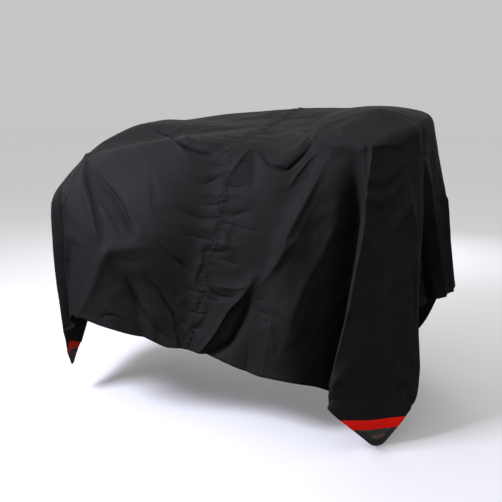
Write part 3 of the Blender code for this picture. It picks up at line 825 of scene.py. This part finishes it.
# The corners: across each one a red ribbon is sewn over the panel's edge, below it hangs a rounded patch
# of heavier coated cloth, and a folded binding of black tape is sewn round the patch's edge.
PATCH_CUT = 0.127
CORNER_RADIUS = 0.055
BAND_LAP = 0.0025
BAND_THICKNESS = 0.0009
BAND_LIFT = 0.0011
BAND_CROWN = 0.0006
BAND_ROLL = 0.0006
BAND_ROLL_SHARE = 0.03
BAND_PUCKER = 0.0004
BAND_PUCKER_TURNS = (92, 3)
# Two small tucks near one end of each ribbon: height, share across, slant and width.
BAND_TUCKS = ((0.0016, 0.90, 0.06, 0.018), (-0.0012, 0.955, -0.08, 0.014))
BAND_STEPS = 72
BAND_ROWS = (0.0, 0.02, 0.06, 0.12, 0.22, 0.35, 0.5, 0.65, 0.78, 0.88, 0.94, 0.98, 1.0)
PATCH_STEPS = 60
PATCH_ROWS = 36
PATCH_INSET = 0.0054
PATCH_THICKNESS = 0.0016
PATCH_BULGE = 0.0030
PATCH_BULGE_ALL_OVER = 0.35
# The two humps that hang down each patch: height, share across and width.
PATCH_HUMPS = ((1.0, 0.24, 0.09), (0.8, 0.78, 0.08))
PATCH_WAVE = 0.0007
PATCH_WAVE_TURNS = (9, 5)
BINDING_WIDTH = 0.009
BINDING_ROWS = 8
BINDING_LIFT = 0.0003
BINDING_CROWN = 0.0012
BINDING_PUCKER = 0.0003
BINDING_PUCKER_TURNS = 120
BINDING_THICKNESS = 0.0026

ribbon_red = woven("red_ribbon", (0.72, 0.008, 0.003), 0.50, 0.10, 0.0011, 0.08, 0.0003)
patch_cloth = woven("coated_patch_cloth", (0.016, 0.0165, 0.0155), 0.40, 0.5, 0.0008, 0.25, 0.0003)
binding_cloth = woven("binding_tape", (0.010, 0.010, 0.010), 0.55, 0.35, 0.0007, 0.15, 0.0003)


def chord(cut, inset, shares):
    """Points across a corner, as distances from it along the two edges, inset from both edges."""
    along = inset + (cut - 2 * inset) * np.asarray(shares)
    return np.stack([cut - along, along], -1)


def rounded_edge(cut, inset, shares):
    """Points round a corner from one end of its chord to the other, inset from the sheet's edge."""
    radius = CORNER_RADIUS - inset
    straight = cut - inset - CORNER_RADIUS
    quarter = radius * math.pi / 2
    points = []
    for gone in np.asarray(shares) * (2 * straight + quarter):
        if gone < straight:
            points.append((cut - inset - gone, inset))
        elif gone > straight + quarter:
            points.append((inset, CORNER_RADIUS + gone - straight - quarter))
        else:
            turn = (gone - straight) / radius
            points.append((CORNER_RADIUS - radius * math.sin(turn), CORNER_RADIUS - radius * math.cos(turn)))
    return np.array(points)


def on_corner(points, corner, height):
    """Places of points of a corner on the flat sheet, with their heights over it."""
    side, edge = corner
    x = side * (HALF_WIDTH - points[:, 0])
    y = edge - math.copysign(1, edge) * points[:, 1]
    return np.stack([x, y, height + 0 * x], 1)


def sewn_on(name, node, lines, cloth, thickness):
    """A small flat piece between lines of points, hung on a corner in the place of its CAD node."""
    tool = bmesh.new()
    sheet_between(tool, lines)
    face_up(tool)
    piece = hung_piece(name, tool, cloth, thickness)
    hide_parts(node)
    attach(piece, "root")
    return piece


def band_height(across, down):
    """How far the ribbon stands off the panel: crown, rolled edges, puckers of its stitches, small tucks."""
    rolled = np.exp(-((min(down, 1 - down) / BAND_ROLL_SHARE) ** 2))
    phase = BAND_PUCKER_TURNS[0] * across + BAND_PUCKER_TURNS[1] * down
    pucker = BAND_PUCKER * np.sin(phase) * (1 - 4 * down * (1 - down))
    crown = BAND_CROWN * math.sin(math.pi * down)
    tucks = 0
    for height, place, slant, width in BAND_TUCKS:
        tucks = tucks + height * np.exp(-(((across - place - slant * down) / width) ** 2))
    return BAND_LIFT - BAND_ROLL * rolled + crown + pucker + tucks * (1 - rolled)


def on_band(corner, across, down):
    """Points on the outer side of a ribbon, from shares across the corner and down the ribbon."""
    cut = BAND_CUT + BAND_LAP - (BAND_CUT - PATCH_CUT + 2 * BAND_LAP) * down
    return on_corner(chord(cut, 0.0, across), corner, band_height(across, down))


def patch_height(across, down):
    """How far a patch swells: humps that hang down it, and a faint wave."""
    fall = math.sin(math.pi * down)
    humps = 0
    for height, place, width in PATCH_HUMPS:
        humps = humps + height * np.exp(-(((across - place) / width) ** 2))
    swell = PATCH_BULGE * fall * (PATCH_BULGE_ALL_OVER + humps) * np.sqrt(np.abs(np.sin(math.pi * across)))
    phase = PATCH_WAVE_TURNS[0] * across + PATCH_WAVE_TURNS[1] * down
    return swell + PATCH_WAVE * fall * np.sin(phase)


def on_patch(corner, across, down, lift=0.0):
    """Points on the outer side of a patch, from shares across it and down it."""
    top = chord(PATCH_CUT, PATCH_INSET, across)
    bottom = rounded_edge(PATCH_CUT, PATCH_INSET, across)
    return on_corner(top + (bottom - top) * down, corner, patch_height(across, down) + lift)


def on_binding(corner, around_it, across):
    """Points on the outer side of a binding, from shares round the patch and across the tape."""
    crown = BINDING_CROWN * math.sqrt(max(0.0, 1 - (2 * across - 1) ** 2))
    height = BINDING_LIFT + crown + BINDING_PUCKER * np.sin(around_it * BINDING_PUCKER_TURNS)
    return on_corner(rounded_edge(PATCH_CUT, BINDING_WIDTH * across, around_it), corner, height)


CORNERS = {
    "front_left": (-1, -FRONT_LENGTH),
    "front_right": (1, -FRONT_LENGTH),
    "back_right": (1, BACK_LENGTH),
    "back_left": (-1, BACK_LENGTH),
}
band_steps = np.linspace(0, 1, BAND_STEPS + 1)
patch_steps = np.linspace(0, 1, PATCH_STEPS + 1)
corner_cloth = {-1: [], 1: []}
for corner_name, corner in CORNERS.items():
    ribbon = [on_band(corner, band_steps, down) for down in BAND_ROWS]
    patch = [on_patch(corner, patch_steps, down) for down in np.linspace(0, 1, PATCH_ROWS + 1)]
    tape = [on_binding(corner, patch_steps, across) for across in np.linspace(0, 1, BINDING_ROWS + 1)]
    for made, node, lines, cloth, thickness, slot in (
        ("red_band_", "band_", ribbon, ribbon_red, BAND_THICKNESS, "red_band"),
        ("patch_cloth_", "patch_", patch, patch_cloth, PATCH_THICKNESS, "patch_cloth"),
        ("binding_tape_", "binding_", tape, binding_cloth, BINDING_THICKNESS, "binding"),
    ):
        piece = sewn_on(made + corner_name, node + corner_name, lines, cloth, thickness)
        corner_cloth[corner[0]].append(piece)


# The label: a small piece of woven cloth, sewn on all round its edge in the middle of the near right
# patch. It is bare.
LABEL_SIZE = (0.054, 0.017)
LABEL_THICKNESS = 0.0008
LABEL_LIFT = 0.0011
LABEL_STEPS = (36, 12)
LABEL_CORNER = CORNERS["front_right"]

label_cloth = woven("woven_label", (0.085, 0.045, 0.045), 0.6, 0.3, 0.0005, 0.12, 0.0002)
patch_width = math.sqrt(2) * (PATCH_CUT - 2 * PATCH_INSET)
patch_top = chord(PATCH_CUT, PATCH_INSET, [0.5])
patch_drop = np.linalg.norm(rounded_edge(PATCH_CUT, PATCH_INSET, [0.5]) - patch_top)
label_reach = LABEL_SIZE[0] / patch_width / 2
label_drop = LABEL_SIZE[1] / patch_drop / 2
label_across = 0.5 + label_reach * np.linspace(-1, 1, LABEL_STEPS[0] + 1)
label_down = 0.5 + label_drop * np.linspace(-1, 1, LABEL_STEPS[1] + 1)
label_rows = [on_patch(LABEL_CORNER, label_across, down, LABEL_LIFT) for down in label_down]
corner_cloth[1].append(sewn_on("bare_label", "label", label_rows, label_cloth, LABEL_THICKNESS))


# The stitching: two rows along the seam, one along each hem, and rows that hold the ribbons, bindings and
# label. Every stitch is a short length of thread that lies on the cloth and dips in at both ends.
STITCH_PITCH = 0.0034
STITCH_LENGTH = 0.0027
THREAD_WIDTH = 0.0006
STITCH_LIFT = 0.0002
STITCH_SIZES = (0.86, 1.08)
STITCH_SEED = 3
ROW_STEP = 0.004
SEAM_ROWS = (0.0018, 0.0075)
SEAM_ROW_END = 0.004
HEM_ROW_INSET = HEM - 0.002
CORNER_ROW_ENDS = (0.01, 0.99)
BAND_STITCH_ROWS = (0.055, 0.945)
BAND_ROW_POINTS = 61
BINDING_STITCH_ROW = 0.84
BINDING_ROW_POINTS = 81
LABEL_STITCH_INSET = 0.0011
LABEL_ROW_POINTS = 17

black_thread = woven("black_thread", (0.020, 0.020, 0.021), 0.45, 0.4, 0.0003, 0.15, 0.0001, flat=False)
red_thread = woven("red_thread", (0.62, 0.012, 0.008), 0.45, 0.4, 0.0003, 0.10, 0.0001, flat=False)


def stitch_tree():
    """Geometry Nodes that lay stitches end to end along the edges of a mesh."""
    tree = bpy.data.node_groups.new("stitches", "GeometryNodeTree")
    face = tree.interface
    face.new_socket("Rows", in_out="INPUT", socket_type="NodeSocketGeometry")
    for name, size in (("Pitch", STITCH_PITCH), ("Length", STITCH_LENGTH), ("Thread", THREAD_WIDTH)):
        face.new_socket(name, in_out="INPUT", socket_type="NodeSocketFloat").default_value = size
    face.new_socket("Finish", in_out="INPUT", socket_type="NodeSocketMaterial")
    face.new_socket("Stitches", in_out="OUTPUT", socket_type="NodeSocketGeometry")
    nodes = tree.nodes
    given = nodes.new("NodeGroupInput").outputs
    lines = nodes.new("GeometryNodeMeshToCurve")
    spots = nodes.new("GeometryNodeCurveToPoints")
    spots.mode = "LENGTH"
    stitch = nodes.new("GeometryNodeMeshIcoSphere")
    stitch.inputs["Radius"].default_value = 0.5
    stitch.inputs["Subdivisions"].default_value = 1
    size = nodes.new("ShaderNodeCombineXYZ")
    chance = nodes.new("FunctionNodeRandomValue")
    chance.inputs[2].default_value, chance.inputs[3].default_value = STITCH_SIZES
    chance.inputs["Seed"].default_value = STITCH_SEED
    uneven = nodes.new("ShaderNodeVectorMath")
    uneven.operation = "SCALE"
    laid = nodes.new("GeometryNodeInstanceOnPoints")
    real = nodes.new("GeometryNodeRealizeInstances")
    finish = nodes.new("GeometryNodeSetMaterial")
    for source, target in (
        (given["Rows"], lines.inputs["Mesh"]),
        (lines.outputs["Curve"], spots.inputs["Curve"]),
        (given["Pitch"], spots.inputs["Length"]),
        (given["Thread"], size.inputs["X"]),
        (given["Thread"], size.inputs["Y"]),
        (given["Length"], size.inputs["Z"]),
        (size.outputs["Vector"], uneven.inputs[0]),
        (chance.outputs[1], uneven.inputs["Scale"]),
        (spots.outputs["Points"], laid.inputs["Points"]),
        (stitch.outputs["Mesh"], laid.inputs["Instance"]),
        (spots.outputs["Rotation"], laid.inputs["Rotation"]),
        (uneven.outputs["Vector"], laid.inputs["Scale"]),
        (laid.outputs["Instances"], real.inputs["Geometry"]),
        (real.outputs["Geometry"], finish.inputs["Geometry"]),
        (given["Finish"], finish.inputs["Material"]),
        (finish.outputs["Geometry"], nodes.new("NodeGroupOutput").inputs["Stitches"]),
    ):
        tree.links.new(source, target)
    return tree


stitches = stitch_tree()
stitch_sockets = stitches.interface.items_tree
stitch_inputs = {item.name: item.identifier for item in stitch_sockets if item.in_out == "INPUT"}


def straight_row(start, end):
    """Points close together on a straight run across the flat sheet."""
    (a, b), (c, d) = start, end
    count = max(1, round(math.hypot(c - a, d - b) / ROW_STEP))
    return np.array([(a + (c - a) * i / count, b + (d - b) * i / count, 0.0) for i in range(count + 1)])


def sewn_rows(name, rows, thread):
    """Stitches along rows of points on the flat cloth, whose z is their height over it."""
    edges = []
    count = 0
    for row in rows:
        edges += [(count + i, count + i + 1) for i in range(len(row) - 1)]
        count += len(row)
    spots = np.concatenate(rows)
    mesh = bpy.data.meshes.new(name + "_rows")
    mesh.from_pydata(drape(spots[:, :2], spots[:, 2] + STITCH_LIFT).tolist(), edges, [])
    sewn = placed(name + "_rows", mesh)
    laying = sewn.modifiers.new("stitches", "NODES")
    laying.node_group = stitches
    laying[stitch_inputs["Finish"]] = thread
    graph = bpy.context.evaluated_depsgraph_get()
    laid = bpy.data.meshes.new_from_object(sewn.evaluated_get(graph), depsgraph=graph)
    laid.name = name
    bpy.data.objects.remove(sewn)
    laid.shade_smooth()
    piece = placed(name, laid)
    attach(piece, "root")
    return piece


seam_front, seam_back = -FRONT_LENGTH + SEAM_ROW_END, BACK_LENGTH - SEAM_ROW_END
seam_rows = [straight_row((x, seam_front), (x, seam_back)) for x in SEAM_ROWS]
stitching = {-1: [], 1: [sewn_rows("seam_stitches", seam_rows, black_thread)]}
for name, side in (("left_hem_stitches", -1), ("right_hem_stitches", 1)):
    hem_rows = [straight_row(run[0], run[-1]) for run in hem_path(side, HEM_ROW_INSET)]
    stitching[side].append(sewn_rows(name, hem_rows, black_thread))
for corner_name, corner in CORNERS.items():
    along_ribbon = np.linspace(*CORNER_ROW_ENDS, BAND_ROW_POINTS)
    along_tape = np.linspace(*CORNER_ROW_ENDS, BINDING_ROW_POINTS)
    ribbon_rows = [on_band(corner, along_ribbon, down) for down in BAND_STITCH_ROWS]
    tape_rows = [on_binding(corner, along_tape, BINDING_STITCH_ROW)]
    stitching[corner[0]] += [
        sewn_rows("band_stitches_" + corner_name, ribbon_rows, red_thread),
        sewn_rows("binding_stitches_" + corner_name, tape_rows, black_thread),
    ]
inner_reach = label_reach - LABEL_STITCH_INSET / patch_width
inner_drop = label_drop - LABEL_STITCH_INSET / patch_drop
along_label = np.linspace(-1, 1, LABEL_ROW_POINTS)
label_sewing = []
for end in (-1, 1):
    across, down = 0.5 + inner_reach * along_label, 0.5 + end * inner_drop
    label_sewing.append(on_patch(LABEL_CORNER, across, down, LABEL_LIFT))
for end in (-1, 1):
    across = np.array([0.5 + end * inner_reach])
    spots = [on_patch(LABEL_CORNER, across, 0.5 + inner_drop * t, LABEL_LIFT) for t in along_label[::2]]
    label_sewing.append(np.concatenate(spots))
stitching[1].append(sewn_rows("label_stitches", label_sewing, black_thread))
